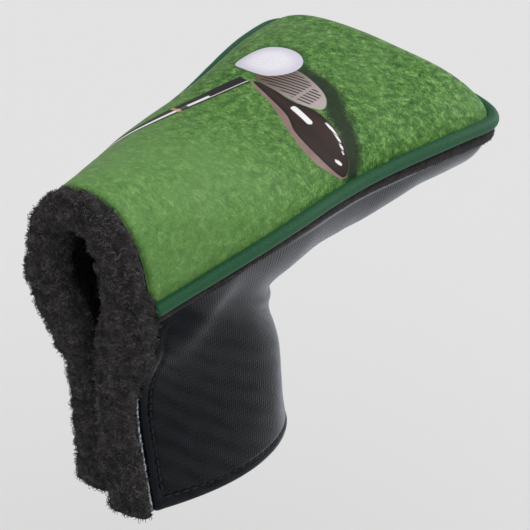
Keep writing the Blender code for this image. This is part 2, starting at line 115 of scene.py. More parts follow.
# The fold from the seam's heel end down the neck, as (x, z) places, with a valley beside its ridge
RIDGE_LINE = ((-8.0, 70.0), (-31.0, 52.0))
RIDGE_HEIGHT = 1.5
RIDGE_WIDTH = 5.5
VALLEY_DEPTH = 0.8
VALLEY_OFFSET = 10.0
# Fine puckers round the inner corner between the blade and the neck
PUCKER_CENTRE = (25.0, 40.0)
PUCKER_REACH = 11.0
PUCKER_SPACING = 4.6
# How far the fleece reaches over the rim's edge and bulges out beside it, at the rim's drops
LIP_COVER = [2.8, 2.4, 1.1, 0.6, 0.5, 0.4]
LIP_BULGE = [1.3, 1.2, 0.7, 0.4, 0.3, 0.3]
ARCH_COVER = 0.5
PRESSED = 1.5  # the fleece within this distance of the slit is pressed flat against it

# attach works out points this far before the crease and this far into the flap, but puts them to no use
BLEND_BEFORE = 0.5
BLEND_PAST = 13.0

# ---------------------------------------------------------------- how finely surfaces are read
STEP = 0.8
INNER_STEP = 1.6
EDGE_STEPS = (0, 0.12, 0.3, 0.55, 0.85, 1.2, 1.6)
WALL_ROWS = 60
LID_ROWS = 52
TOE_LINES = 32
TOE_SOFTENING = 24
SOFT_PAST_TOE = 8.0  # the normals turn gently as far as this beyond the toe's lines
# The wall is evened out along its length here, from and to these distances past the heel
EVENED_FROM = (-50.0, -40.0)
EVENED_TO = (-2.0, 10.0)
EVENING = 36


def smooth(stations, values):
    """A smooth curve through the values, one for each station, level past its ends."""
    stations = np.asarray(stations, float)
    values = np.asarray(values, float)
    slopes = np.gradient(values, stations, axis=0)

    def at(where):
        where = np.clip(where, stations[0], stations[-1])
        i = int(np.clip(np.searchsorted(stations, where, side="right") - 1, 0, len(stations) - 2))
        span = stations[i + 1] - stations[i]
        t = (where - stations[i]) / span
        bend = slopes[i] * t * (1 - t) ** 2 + slopes[i + 1] * t * t * (t - 1)
        return values[i] + (values[i + 1] - values[i]) * t * t * (3 - 2 * t) + span * bend

    return at


def ease(start, end, value):
    t = np.clip((value - start) / (end - start), 0, 1)
    return t * t * (3 - 2 * t)


def unit(vectors):
    return vectors / np.maximum(np.linalg.norm(vectors, axis=-1, keepdims=True), 1e-9)


half_width = smooth(*HALF_WIDTH_AT)
seam_height = smooth(*SEAM_HEIGHT_AT)
crown_height = smooth(*CROWN_HEIGHT_AT)
lip_reach = smooth(RIM_DROPS, LIP_REACH)
lip_thickness = {side: smooth(RIM_DROPS, values) for side, values in LIP_THICKNESS.items()}
lip_cover = smooth(RIM_DROPS, LIP_COVER)
lip_bulge = smooth(RIM_DROPS, LIP_BULGE)
rim_point = {side: smooth(RIM_DROPS, values) for side, values in RIM_POINTS.items()}


class Path:
    """A fine polyline that is read by the distance along it."""

    def __init__(self, points):
        self.points = np.asarray(points, float)
        steps = np.linalg.norm(np.diff(self.points, axis=0), axis=1)
        self.lengths = np.concatenate([[0.0], np.cumsum(steps)])
        self.length = self.lengths[-1]

    def at(self, distance):
        return np.stack([np.interp(distance, self.lengths, self.points[:, k]) for k in range(3)], -1)

    def where_x(self, x, before):
        """The distance at which the path has this x, on its stretch before the given distance."""
        wanted = self.lengths <= before
        xs = self.points[wanted, 0]
        order = np.argsort(xs)
        return float(np.interp(x, xs[order], self.lengths[wanted][order]))


def lower_path():
    line = smooth(range(len(LOWER_LINE)), LOWER_LINE)
    flat = [line(t) for t in np.linspace(0, len(LOWER_LINE) - 1, 240)]
    return Path([(x, 0.0, z) for x, z in flat])


class Wall:
    """The outer surface of one long side, as sections from its upper edge down to the centre line."""

    def __init__(self, side):
        self.side = side
        power = 2 / OUTLINE_POWER
        points = []
        for turn in np.linspace(np.pi / 2, 0, 60):
            x = TOE_X - TOE_CORNER * (1 - np.sin(turn) ** power)
            points.append((x, side * half_width(x) * np.cos(turn) ** power, seam_height(x)))
        self.corner = Path(points).length
        for x in np.linspace(TOE_X - TOE_CORNER, HEEL_X, 160)[1:]:
            points.append((x, side * half_width(x), seam_height(x)))
        self.heel = Path(points).length
        for drop in np.linspace(0, RIM_DROPS[-1], 80)[1:]:
            x, y = rim_point[side](drop)
            points.append((x, y, RIM_DROPS[-1] - drop))
        self.upper = Path(points)
        self.lower = lower_path()
        self.foot = self.match_feet()

    def match_feet(self):
        """Pairs a distance along the upper edge with one along the centre line."""
        end = self.upper.length
        bottom = self.lower.length
        underside = self.lower.where_x(UNDERSIDE_X, bottom / 2)
        bend = underside + BEND_SHARE * (bottom - underside)
        pairs = [(self.corner, 0.0)]
        pairs.append((self.upper.where_x(BLADE_X, self.heel), self.lower.where_x(BLADE_X, bottom / 2)))
        pairs.append((self.upper.where_x(UNDERSIDE_X + 2.0, self.heel), underside))
        pairs.append((self.heel - FAN_LENGTH, bend - BEND_HALF))
        pairs.append((self.heel, bend + BEND_HALF))
        pairs.append(((self.heel + end) / 2, (bend + bottom) / 2))
        pairs.append((end, bottom))
        return smooth([above for above, below in pairs], [below for above, below in pairs])

    def section(self, distance):
        """The line down the wall from this distance along its upper edge."""
        top = self.upper.at(distance)
        in_toe = distance < self.corner
        foot = self.lower.at(0.0 if in_toe else self.foot(distance))
        neck = ease(self.heel + TOP_TURN[0], self.heel + TOP_TURN[1], distance)
        neck_foot = ease(self.heel + FOOT_TURN[0], self.heel + FOOT_TURN[1], distance)
        fall = top - foot
        flare = (8 * NECK_HALF - 4 * abs(top[1]) - 3 * FRONT_REACH) / 3
        down = np.array([0, 0, -SOLE_FULLNESS * fall[2]])
        back = np.array([RIM_REACH, self.side * flare, 0])
        under = SOLE_FULLNESS * np.array([fall[0] if in_toe else 0, fall[1], 0])
        front = np.array([0, self.side * FRONT_REACH, 0])
        handle_top = top + (1 - neck) * down + neck * back
        handle_foot = foot + (1 - neck_foot) * under + neck_foot * front
        t = np.linspace(0, 1, 80)[:, None]
        curve = (1 - t) ** 3 * top + 3 * t * (1 - t) ** 2 * handle_top
        return Path(curve + 3 * t**2 * (1 - t) * handle_foot + t**3 * foot)

    def crown(self, distance):
        """The line up the lid from this distance along the seam to the ridge."""
        top = self.upper.at(distance)
        ridge_x = min(top[0], RIDGE_END)
        turn = np.linspace(0, np.pi / 2, 60)
        across = np.cos(turn) ** (2 / CROWN_POWER)
        rise = np.sin(turn) ** (2 / CROWN_POWER)
        x = ridge_x + (top[0] - ridge_x) * across
        z = np.array([seam_height(value) for value in x]) + crown_height(ridge_x) * rise
        lean = CROWN_LEAN * ease(0.0, HEEL_X, top[0])
        return Path(np.stack([x - lean * rise, top[1] * across, z], -1))


WALLS = {side: Wall(side) for side in (NEAR, FAR)}


# ---------------------------------------------------------------- surfaces as grids of points
class Surface:
    """A grid of points on the outer surface, with its normals and named fields of the same shape."""

    def __init__(self, points, side, rows):
        self.points = points
        self.fields = {key: np.array([row[key] for row in rows]) for key in rows[0]}
        along = np.gradient(points, axis=0)
        down = np.gradient(points, axis=1)
        normals = np.cross(down, along) * side
        weak = np.linalg.norm(normals, axis=-1) < 1e-7  # where lines meet, the row before has the normal
        normals = unit(normals)
        for row in range(1, points.shape[1]):
            normals[weak[:, row], row] = normals[weak[:, row], row - 1]
        self.normals = normals

    def soften_toe(self, lines):
        """Makes the first lines' normals turn gently, so that inner layers do not fold at the corners."""
        self.normals[0, :, 1] = 0
        self.normals = unit(self.normals)
        for _ in range(TOE_SOFTENING):
            n = self.normals[:lines]
            n[1:-1] = (n[:-2] + 2 * n[1:-1] + n[2:]) / 4
        self.normals = unit(self.normals)

    def at_depth(self, depth):
        return self.points - np.asarray(depth)[..., None] * self.normals


def wall_surface(side, first_row, step=STEP):
    """One side, from the toe's seam round to the hem. Rows run from the edge down to the centre line."""
    wall = WALLS[side]
    end = wall.upper.length
    fine = np.concatenate([EDGE_STEPS, np.arange(2.1, STITCH_INSET + 1.5, 0.4)])
    toe = np.linspace(0, wall.corner, TOE_LINES)
    seam = np.arange(wall.corner + step, wall.heel - step / 2, step)
    slit = np.arange(wall.heel, end - fine[-1] - step / 2, step)
    distances = np.concatenate([toe, seam, slit, (end - fine)[::-1]])
    grid = []
    rows = []
    for distance in distances:
        section = wall.section(distance)
        begin = first_row * (1 - ease(wall.heel + 1.0, wall.heel + 9.0, distance))
        rim = np.concatenate([fine, np.linspace(fine[-1], section.length - begin, WALL_ROWS + 1)[1:]])
        grid.append(section.at(begin + rim))
        rows.append({"rim": rim, "hem": np.full_like(rim, end - distance), "down": begin + rim,
                     "foot": section.length - begin - rim, "way": np.full_like(rim, distance)})
    grid = np.array(grid)
    past_heel = distances[:, None] - wall.heel
    near_bend = ease(*EVENED_FROM, past_heel) * (1 - ease(*EVENED_TO, past_heel))
    for _ in range(round(EVENING / step**2)):
        evened = (grid[:-2] + 2 * grid[1:-1] + grid[2:]) / 4
        grid[1:-1] = grid[1:-1] + near_bend[1:-1, :, None] * (evened - grid[1:-1])
    surface = Surface(grid, side, rows)
    surface.normals[:, -1, 1] = 0
    surface.soften_toe(TOE_LINES + round(SOFT_PAST_TOE / step))
    return surface


def lid_surface(first_row, step=STEP):
    """The lid, as lines from the near seam over the ridge to the far seam, from the toe to the heel."""
    wall = WALLS[NEAR]
    fine = np.array([*EDGE_STEPS, 2.1, 2.7])
    toe = np.linspace(0, wall.corner, TOE_LINES)
    seam = np.arange(wall.corner + step, wall.heel - fine[-1] - step / 2, step)
    distances = np.concatenate([toe, seam, (wall.heel - fine)[::-1]])
    grid = []
    rows = []
    for distance in distances:
        lines = {side: WALLS[side].crown(distance) for side in (NEAR, FAR)}
        length = lines[NEAR].length
        heights = first_row + np.concatenate([fine, np.linspace(fine[-1], length - first_row, LID_ROWS)[1:]])
        near = lines[NEAR].at(heights)
        far = lines[FAR].at(heights)
        points = np.concatenate([near, far[-2::-1]])
        grid.append(points)
        edge = np.concatenate([heights, heights[-2::-1]]) - first_row
        over = length - heights
        rows.append({"heel": np.full_like(edge, wall.heel - distance), "edge": edge, "u": points[:, 0],
                     "v": np.concatenate([-over, over[-2::-1]])})
    surface = Surface(np.array(grid), FAR, rows)
    middle = len(surface.points[0]) // 2
    surface.normals[:, middle, 1] = 0
    pole = len(toe) + int(np.searchsorted(-surface.points[len(toe):, 0, 0], -RIDGE_END))
    surface.normals[:pole, middle] = surface.normals[pole, middle]
    surface.soften_toe(TOE_LINES + round(SOFT_PAST_TOE / step))
    return surface


def turned(*edges):
    """How far a surface falls away beside its turned edges, each a pair of distance and radius."""
    reach = np.sqrt(sum(np.maximum(1 - distance / radius, 0) ** 2 for distance, radius in edges))
    weights = [np.maximum(1 - distance / radius, 1e-6) for distance, radius in edges]
    radius = sum(w * r for w, (_, r) in zip(weights, edges)) / sum(weights)
    return radius * (1 - np.sqrt(1 - np.minimum(reach, 1) ** 2)), radius


def ripple(points, size, octaves=1):
    """Soft noise between about -1 and 1, with features of this size."""
    flat = points.reshape(-1, 3) / size
    values = [noise.fractal(Vector(point), 1.0, 2.0, octaves) for point in flat]
    return np.array(values).reshape(points.shape[:-1])


# ---------------------------------------------------------------- meshes
def add_piece(name, points, faces, material, fields=None, merge=False):
    """Makes a piece from points in millimetres. Its fields become attributes, and so does its rest place."""
    mesh = bpy.data.meshes.new(name)
    corners = [face for group in faces for face in np.asarray(group).tolist()]
    mesh.from_pydata((points * MM).tolist(), [], corners)
    for key, values in {"place": points, **(fields or {})}.items():
        kind, entry = ("FLOAT_VECTOR", "vector") if values.ndim == 2 else ("FLOAT", "value")
        attribute = mesh.attributes.new(key, kind, "POINT")
        attribute.data.foreach_set(entry, values.astype(np.float32).ravel())
    if merge:
        bm = bmesh.new()
        bm.from_mesh(mesh)
        bmesh.ops.remove_doubles(bm, verts=bm.verts, dist=1e-7)
        bmesh.ops.dissolve_degenerate(bm, edges=bm.edges, dist=1e-8)
        bmesh.ops.recalc_face_normals(bm, faces=bm.faces)
        bm.to_mesh(mesh)
        bm.free()
    mesh.shade_smooth()
    mesh.materials.append(material)
    obj = bpy.data.objects.new(name, mesh)
    bpy.context.scene.collection.objects.link(obj)
    return obj


def slab(name, surface, outer_depth, inner_depth, material, fields=None, zipped=False):
    """A closed sheet between two depths under a surface. A zipped sheet's first line folds onto itself."""
    outer = surface.at_depth(outer_depth)
    inner = surface.at_depth(inner_depth)
    lines, rows = outer.shape[:2]
    count = lines * rows
    n = np.arange(count).reshape(lines, rows)
    quads = np.stack([n[:-1, :-1], n[:-1, 1:], n[1:, 1:], n[1:, :-1]], -1).reshape(-1, 4)
    edges = [np.stack([n[:-1, 0], n[1:, 0]], -1), np.stack([n[-1, :-1], n[-1, 1:]], -1),
             np.stack([n[1:, -1], n[:-1, -1]], -1)]
    if not zipped:
        edges.append(np.stack([n[0, 1:], n[0, :-1]], -1))
    edges = np.concatenate(edges)
    border = np.concatenate([edges, edges[:, ::-1] + count], -1)
    faces = [quads, quads[:, ::-1] + count, border]
    both = {}
    for key, values in (fields or {}).items():
        flat = values.reshape(count, -1) if values.ndim == 3 else values.reshape(count)
        both[key] = np.concatenate([flat, flat])
    points = np.concatenate([outer.reshape(-1, 3), inner.reshape(-1, 3)])
    return add_piece(name, points, faces, material, both, merge=True)


def tubes(lines, wide, tall=None, sides=12, up=(0, 0, 1)):
    """Closed tubes round lines of points, an array of (tube, point, xyz), with a radius for each point."""
    lines = np.asarray(lines, float)
    count, length = lines.shape[:2]
    wide = np.broadcast_to(wide, (count, length))
    tall = wide if tall is None else np.broadcast_to(tall, (count, length))
    ahead = unit(np.gradient(lines, axis=1))
    across = unit(np.cross(ahead, np.broadcast_to(up, lines.shape)))
    over = np.cross(across, ahead)
    turns = np.arange(sides) * 2 * np.pi / sides
    ring = np.cos(turns)[:, None] * (wide[..., None, None] * across[:, :, None])
    ring = ring + np.sin(turns)[:, None] * (tall[..., None, None] * over[:, :, None])
    points = (lines[:, :, None] + ring).reshape(-1, 3)
    n = np.arange(count * length * sides).reshape(count, length, sides)
    after = np.roll(n, -1, axis=2)
    quads = np.stack([after[:, :-1], n[:, :-1], n[:, 1:], after[:, 1:]], -1).reshape(-1, 4)
    return points, [quads, n[:, 0], n[:, -1, ::-1]]


def scattered(obj, count, seed, wanted=None):
    """Places and outward normals spread evenly over a piece, in millimetres."""
    mesh = obj.data
    mesh.calc_loop_triangles()
    points = np.empty(len(mesh.vertices) * 3, np.float32)
    mesh.vertices.foreach_get("co", points)
    points = points.reshape(-1, 3).astype(float) / MM
    corners = np.empty(len(mesh.loop_triangles) * 3, np.int32)
    mesh.loop_triangles.foreach_get("vertices", corners)
    a, b, c = (points[corners.reshape(-1, 3)[:, k]] for k in range(3))
    around = np.cross(b - a, c - a)
    area = np.linalg.norm(around, axis=1)
    if wanted is not None:
        area = area * wanted((a + b + c) / 3, unit(around))
    draw = np.random.default_rng(seed)
    chosen = draw.choice(len(area), count, p=area / area.sum())
    s, t = draw.random((2, count, 1))
    s, t = np.where(s + t > 1, 1 - s, s), np.where(s + t > 1, 1 - t, t)
    places = a[chosen] + s * (b - a)[chosen] + t * (c - a)[chosen]
    return places, unit(around[chosen]), draw


def pile(name, obj, count, seed, material, length=PILE_LENGTH, radius=0.085, wanted=None):
    """Short curled fibres that stand on a fleece piece."""
    places, normals, draw = scattered(obj, count, seed, wanted)
    side = unit(np.cross(normals, draw.normal(size=(count, 3))))
    other = np.cross(normals, side)
    t = np.linspace(0, 1, 5)[None, :, None]
    clump = 1.0 + 0.45 * ripple(places, 3.0, 2)[:, None, None]
    reach = length * draw.uniform(0.6, 1.1, (count, 1, 1)) * clump
    curl = 0.38 * draw.uniform(0.5, 1.4, (count, 1, 1)) * min(length, 1.0)
    turn = draw.uniform(2.5, 5.0, (count, 1, 1)) * t
    lean = 0.7 * draw.uniform(0, 1, (count, 1, 1))
    lines = places[:, None] + normals[:, None] * reach * (t - 0.42 * t * t - 0.12)
    lines = lines + side[:, None] * (curl * np.sin(turn) + lean * t * t)
    lines = lines + other[:, None] * curl * (1 - np.cos(turn))
    points, faces = tubes(lines, radius * np.array([1, 1, 0.9, 0.7, 0.35]), sides=3, up=(0.3, 0.2, 0.93))
    tone = np.repeat(draw.random(count), 15)
    return add_piece(name, points, faces, material, {"tone": tone})


# ---------------------------------------------------------------- materials
class Value:
    """The result of a node, with the arithmetic that makes further nodes."""

    def __init__(self, graph, socket):
        self.graph = graph
        self.socket = socket

    def __add__(self, other):
        return self.graph.math("ADD", self, other)

    def __sub__(self, other):
        return self.graph.math("SUBTRACT", self, other)

    def __mul__(self, other):
        return self.graph.math("MULTIPLY", self, other)

    def __truediv__(self, other):
        return self.graph.math("DIVIDE", self, other)

    def __abs__(self):
        return self.graph.math("ABSOLUTE", self)


class Graph:
    """A node material, with short calls for the nodes that it is made of."""

    def __init__(self, name, roughness, specular):
        self.material = bpy.data.materials.new(name)
        self.material.use_nodes = True
        self.tree = self.material.node_tree
        self.shader = self.tree.nodes["Principled BSDF"]
        self.set("Roughness", roughness)
        self.set("Specular IOR Level", specular)

    def set(self, socket, value):
        self.join(value, self.shader.inputs[socket])

    def join(self, value, socket):
        if isinstance(value, Value):
            self.tree.links.new(value.socket, socket)
        elif socket.type == "RGBA" and len(value) == 3:
            socket.default_value = (*value, 1)
        else:
            socket.default_value = value

    def node(self, kind, inputs, output=0, **settings):
        """Adds a node and gives one of its outputs."""
        made = self.tree.nodes.new(kind)
        for key, value in settings.items():
            setattr(made, key, value)
        for key, value in inputs.items():
            self.join(value, made.inputs[key])
        return Value(self, made.outputs[output])

    def field(self, name):
        return self.node("ShaderNodeAttribute", {}, "Fac", attribute_name=name)

    def vector(self, name="place"):
        return self.node("ShaderNodeAttribute", {}, "Vector", attribute_name=name)

    def object_place(self):
        coordinates = self.node("ShaderNodeTexCoord", {}, "Object")
        return self.node("ShaderNodeVectorMath", {0: coordinates, 3: 1 / MM}, operation="SCALE")

    def math(self, operation, a, b=0.0, clamp=False):
        return self.node("ShaderNodeMath", {0: a, 1: b}, operation=operation, use_clamp=clamp)

    def stretched(self, vector, scale):
        return self.node("ShaderNodeVectorMath", {0: vector, 1: scale}, operation="MULTIPLY")

    def noise(self, vector, scale, detail=3.0, roughness=0.5, twist=0.0):
        inputs = {"Vector": vector, "Scale": scale, "Detail": detail, "Roughness": roughness,
                  "Distortion": twist}
        return self.node("ShaderNodeTexNoise", inputs, "Fac")

    def step(self, value, low, high, start=0.0, end=1.0):
        """A smooth change from start to end, while the value goes from low to high."""
        inputs = {"Value": value, "From Min": low, "From Max": high, "To Min": start, "To Max": end}
        return self.node("ShaderNodeMapRange", inputs, interpolation_type="SMOOTHSTEP")

    def inside(self, name, soft=0.12):
        """1 inside the outline that a field measures from, and 0 outside it."""
        return self.step(self.field(name), -soft, soft)

    def between(self, value, rise, fall):
        """1 between two smooth changes, and 0 beyond them."""
        return self.step(value, *rise) * self.step(value, *fall)

    def mix(self, share, a, b):
        return self.node("ShaderNodeMix", {0: share, 6: a, 7: b}, 2, data_type="RGBA")

    def ramp(self, value, *stops):
        made = self.node("ShaderNodeValToRGB", {"Fac": value})
        elements = made.socket.node.color_ramp.elements
        while len(elements) < len(stops):
            elements.new(0.5)
        for element, (position, colour) in zip(elements, stops):
            element.position = position
            element.color = (*colour, 1)
        return made

    def split(self, vector):
        made = self.node("ShaderNodeSeparateXYZ", {0: vector})
        return [Value(self, socket) for socket in made.socket.node.outputs]

    def wave(self, value, period):
        """A sine of the value, from -1 to 1."""
        return self.math("SINE", value * (2 * np.pi / period))

    def sheen(self, weight, roughness, tint):
        self.set("Sheen Weight", weight)
        self.set("Sheen Roughness", roughness)
        self.set("Sheen Tint", tint)

    def bump(self, height, distance, strength=1.0):
        inputs = {"Height": height, "Distance": distance * MM, "Strength": strength}
        self.set("Normal", self.node("ShaderNodeBump", inputs))


INK = {
    "soil": (0.014, 0.050, 0.005), "blade": (0.048, 0.158, 0.018), "light blade": (0.090, 0.245, 0.040),
    "tip": (0.25, 0.43, 0.14), "haze": (0.150, 0.290, 0.088), "club shade": (0.008, 0.02, 0.006),
    "ball shade": (0.012, 0.07, 0.008), "deep pink": (0.20, 0.115, 0.10), "pink": (0.33, 0.235, 0.215),
    "lacquer": (0.011, 0.006, 0.005), "streak": (0.045, 0.022, 0.017), "lacquer edge": (0.004, 0.003, 0.003),
    "shine": (0.88, 0.86, 0.86), "plate": (0.46, 0.39, 0.385), "plate heel": (0.125, 0.085, 0.06),
    "score": (0.008, 0.006, 0.006), "steel edge": (0.02, 0.016, 0.018), "steel": (0.85, 0.83, 0.85),
    "hosel edge": (0.012, 0.01, 0.012), "hosel": (0.6, 0.56, 0.58), "band": (0.02, 0.014, 0.012),
    "ring": (0.55, 0.36, 0.16), "ball": (0.86, 0.84, 0.90), "ball edge": (0.50, 0.47, 0.60),
    "dimple": (0.62, 0.60, 0.70),
}
# Where parts of the print begin and end, each as the change from 0 to 1 and the change back
SCORES = (((-5.6, -5.2), (8, 5)), ((-10.4, -10.0), (-6.3, -6.7)))
SCORE_SPACING = 0.62
HOSEL_END = (11.6, 12.0)
BAND = ((18.6, 19.0), (21.4, 21.0))
RING = ((21.2, 21.5), (22.6, 22.3))
SHAFT_EDGE = (2.25, 2.0)


def print_turf(g, sheet, u):
    """Turf that gets crisper toward the toe, with the shades of the club and the ball on it."""
    crisp = g.step(u, -20, 48)
    strands = g.noise(g.stretched(sheet, (1.0, 0.55, 1)), 1.5, 4, 0.72, 1.2)
    clumps = g.noise(sheet, 0.42, 3, 0.6, 0.6)
    fine = g.noise(g.stretched(sheet, (1.0, 0.45, 1)), 3.4, 3, 0.8, 0.8)
    spread = strands * 0.55 + clumps * 0.45 - 0.5 + (fine - 0.5) * 0.35
    tone = spread * g.step(crisp, 0, 1, 2.4, 3.2) + g.step(crisp, 0, 1, 0.5, 0.45)
    turf = g.ramp(tone, (0.12, INK["soil"]), (0.40, INK["blade"]), (0.60, INK["light blade"]),
                  (0.88, INK["tip"]))
    haze = g.step(g.noise(sheet, 0.05, 2), 0.3, 0.7, 0, 0.2) + g.step(crisp, 0, 1, 0.38, 0.0)
    turf = g.mix(haze, turf, INK["haze"])
    ragged = g.field("shade") + (strands - 0.5) * 4.5
    turf = g.mix(g.step(ragged, 1.3, 4.8, 0.95, 0.0), turf, INK["club shade"])
    return g.mix(g.step(g.field("ball"), -2.6, 0.0, 0.0, 0.55), turf, INK["ball shade"])


def print_head(g, sheet, u, v, colour):
    """The club's head: a pink rim, a dark lacquered crown and a scored face."""
    pink = g.mix(g.noise(sheet, 0.25, 2), INK["deep pink"], INK["pink"])
    colour = g.mix(g.inside("club"), colour, pink)
    streaks = g.noise(g.stretched(sheet, (0.5, 0.12, 1)), 0.5, 2)
    lacquer = g.mix(streaks, INK["lacquer"], INK["streak"])
    lacquer = g.mix(g.step(g.field("dark"), 0.0, 1.3, 0.75, 0.0), lacquer, INK["lacquer edge"])
    lacquer = g.mix(g.step(g.field("shine"), -0.15, 0.12), lacquer, INK["shine"])
    colour = g.mix(g.inside("dark"), colour, lacquer)
    plate = g.mix(g.step(v, -13, 8), INK["plate"], INK["plate heel"])
    line = g.step(g.math("PINGPONG", u + v * 0.2, SCORE_SPACING), 0.30, 0.42)
    scored = (g.between(v, *SCORES[0]) + g.between(v, *SCORES[1])) * line
    scored = scored * g.step(g.field("face"), 0.9, 1.3, 0, 0.95)
    plate = g.mix(scored, plate, INK["score"])
    return g.mix(g.inside("face"), colour, plate)


def print_shaft(g, colour):
    """The club's shaft: a dark hosel, then bright steel with a dark band and a brass ring."""
    along, beside, _ = g.split(g.vector("shaft"))
    steel = g.mix(g.step(abs(beside + 0.7), 0.75, 0.45), INK["steel edge"], INK["steel"])
    hosel = g.mix(g.step(abs(beside + 1.25), 0.3, 0.15), INK["hosel edge"], INK["hosel"])
    steel = g.mix(g.step(along, *HOSEL_END), hosel, steel)
    steel = g.mix(g.between(along, *BAND) * 0.9, steel, INK["band"])
    steel = g.mix(g.between(along, *RING) * 0.8, steel, INK["ring"])
    return g.mix(g.step(abs(beside), *SHAFT_EDGE) * g.step(along, -0.2, 0.4), colour, steel)


def print_material():
    """Turf with a ball and a club on it, printed on smooth cloth."""
    g = Graph("print_fabric", 0.62, 0.28)
    sheet = g.vector("sheet")
    u, v, _ = g.split(sheet)
    colour = print_turf(g, sheet, u)
    colour = print_head(g, sheet, u, v, colour)
    colour = print_shaft(g, colour)
    ball = g.mix(g.step(g.field("ball"), 0.0, 5.0, 0.6, 0.0), INK["ball"], INK["ball edge"])
    ball = g.mix(g.step(g.noise(sheet, 1.3, 1, 0.4), 0.35, 0.6, 0.3, 0.0), ball, INK["dimple"])
    g.set("Base Color", g.mix(g.step(g.field("ball"), -0.1, 0.15), colour, ball))
    g.bump(g.noise(g.vector(), 2.6, 2), 0.03, 0.6)
    return g.material


CARBON = {
    "dark": (0.0013, 0.0020, 0.0036), "mid": (0.0058, 0.0074, 0.0102), "upright": (0.0100, 0.0122, 0.0160),
    "patch": (0.012, 0.0145, 0.019), "sheen rib dark": (0.055, 0.058, 0.064), "sheen rib light": (0.125, 0.130, 0.140),
    "glint": (0.40, 0.41, 0.44), "plain": (0.0012, 0.0022, 0.0055),
}
TWILL_CELL = 1.5
TWILL_FADE = (58, 76)  # where the relief fades out toward the toe
BLADE_SHEEN_ZONE = (39, 62)  # where painted sheen makes the cloth lighter, on the blade


def carbon_material():
    """Synthetic leather embossed with a twill of ribbed strands, with painted sheen on the blade and a
    painted highlight below the seam.
    """
    g = Graph("carbon_panel", 0.44, 0.12)
    weave = g.vector("weave")
    a, b, _ = g.split(weave)
    x, _, z = g.split(g.vector())
    column = g.math("FLOOR", a / TWILL_CELL)
    row = g.math("FLOOR", b / TWILL_CELL)
    upright = g.math("LESS_THAN", g.math("FLOORED_MODULO", column + row, 4.0), 1.5)
    ribs = g.mix(upright, g.wave(b, TWILL_CELL / 2), g.wave(a, TWILL_CELL / 2))
    beyond = abs(g.wave(b, TWILL_CELL * 2))
    diagonal = g.wave(a * 0.55 + b * 0.9, TWILL_CELL * 4)
    plain = g.step(g.field("plain"), 0.0, 1.0)
    faded = g.math("MAXIMUM", plain, g.step(x, *TWILL_FADE, 0.0, 0.8))
    height = (ribs * 0.5 + (diagonal + beyond) * 0.35) * g.math("SUBTRACT", 1.0, faded)
    grain = g.noise(g.vector(), 3.0, 3)
    patches = g.noise(g.stretched(weave, (0.16, 0.16, 1)), 1.0, 2)
    base = g.mix(g.step(diagonal, -1, 1), CARBON["dark"], CARBON["mid"])
    base = g.mix(upright * 0.14, base, CARBON["upright"])
    base = g.mix(g.step(patches, 0.4, 0.75, 0, 0.3), base, CARBON["patch"])
    # Painted sheen: the blade's cloth turns lighter, streaked along its ribs
    blade_sheen = g.mix(g.step(g.wave(a, 0.9), -1, 1), CARBON["sheen rib dark"], CARBON["sheen rib light"])
    base = g.mix(g.step(x * 0.8 + z, *BLADE_SHEEN_ZONE) * 0.8, base, blade_sheen)
    # The painted highlight below the seam
    base = g.mix(g.field("glint") * 0.9, base, CARBON["glint"])
    g.set("Base Color", g.mix(plain, base, CARBON["plain"]))
    g.set("Roughness", g.step(grain, 0.3, 0.7, 0.36, 0.48) + plain * -0.12)
    facing = g.node("ShaderNodeLayerWeight", {"Blend": 0.5}, "Facing")
    g.sheen(g.step(facing, 0.4, 0.95, 0.0, 0.9), 0.3, (0.75, 0.8, 0.9))
    g.bump(height + grain * 0.4, 0.09, 0.8)
    return g.material


def binding_material():
    """Finely woven green tape."""
    g = Graph("green_binding", 0.58, 0.3)
    place = g.vector()
    weave = g.noise(g.stretched(place, (1, 1, 3)), 1.8, 3, 0.6)
    g.set("Base Color", g.mix(g.step(weave, 0.3, 0.7), (0.005, 0.056, 0.021), (0.013, 0.098, 0.042)))
    g.sheen(0.06, 0.5, (0.55, 0.9, 0.65))
    g.bump(g.noise(place, 2.4, 3), 0.06, 0.7)
    return g.material


def fleece_material(name, dark, light, fibre=False):
    """Tufts of two tones. Each fibre of a pile also has a tone of its own."""
    g = Graph(name, 0.95, 0.15)
    place = g.vector()
    share = g.step(g.noise(place, 0.36, 4, 0.7, 0.9), 0.38, 0.62)
    if fibre:
        share = g.math("ADD", share * 0.6, g.field("tone") * 0.4, clamp=True)
        share = g.math("POWER", share, 2.0)
    g.set("Base Color", g.mix(share, dark, light))
    g.sheen(0.12, 0.6, (0.9, 0.86, 0.86))
    if not fibre:
        g.bump(g.noise(place, 1.6, 4, 0.7), 0.5, 1.0)
    return g.material


def simple_material(name, dark, light, roughness, scale, depth, metallic=0.0, own=True):
    """A colour that varies softly, with a fine grain. A CAD node has no places of its own."""
    g = Graph(name, roughness, 0.5 if metallic else 0.25)
    place = g.vector() if own else g.object_place()
    g.set("Base Color", g.mix(g.step(g.noise(place, scale, 3), 0.3, 0.7), dark, light))
    g.set("Metallic", metallic)
    g.bump(g.noise(place, scale * 3, 3), depth, 0.8)
    return g.material


FLEECE = {
    "fleece": ((0.004, 0.0035, 0.0035), (0.016, 0.0145, 0.014)),
    "fleece_pile": ((0.0060, 0.0052, 0.0052), (0.175, 0.164, 0.162), True),
    "welt": ((0.006, 0.005, 0.006), (0.018, 0.016, 0.018)),
}
SIMPLE = {
    "thread": ((0.003, 0.003, 0.004), (0.012, 0.012, 0.015), 0.6, 2.5, 0.05),
    "raw_edge": ((0.05, 0.06, 0.08), (0.62, 0.68, 0.74), 0.8, 1.3, 0.1),
    "foam": ((0.42, 0.42, 0.40), (0.58, 0.58, 0.55), 0.95, 1.2, 0.2),
    "magnet_plate": ((0.5, 0.5, 0.52), (0.66, 0.66, 0.68), 0.3, 0.6, 0.02, 1.0),
    "filler_cord": ((0.3, 0.3, 0.28), (0.5, 0.5, 0.47), 0.9, 1.5, 0.1, 0.0, False),
}
MATERIALS = {
    "print_fabric": print_material(),
    "carbon_panel": carbon_material(),
    "green_binding": binding_material(),
}
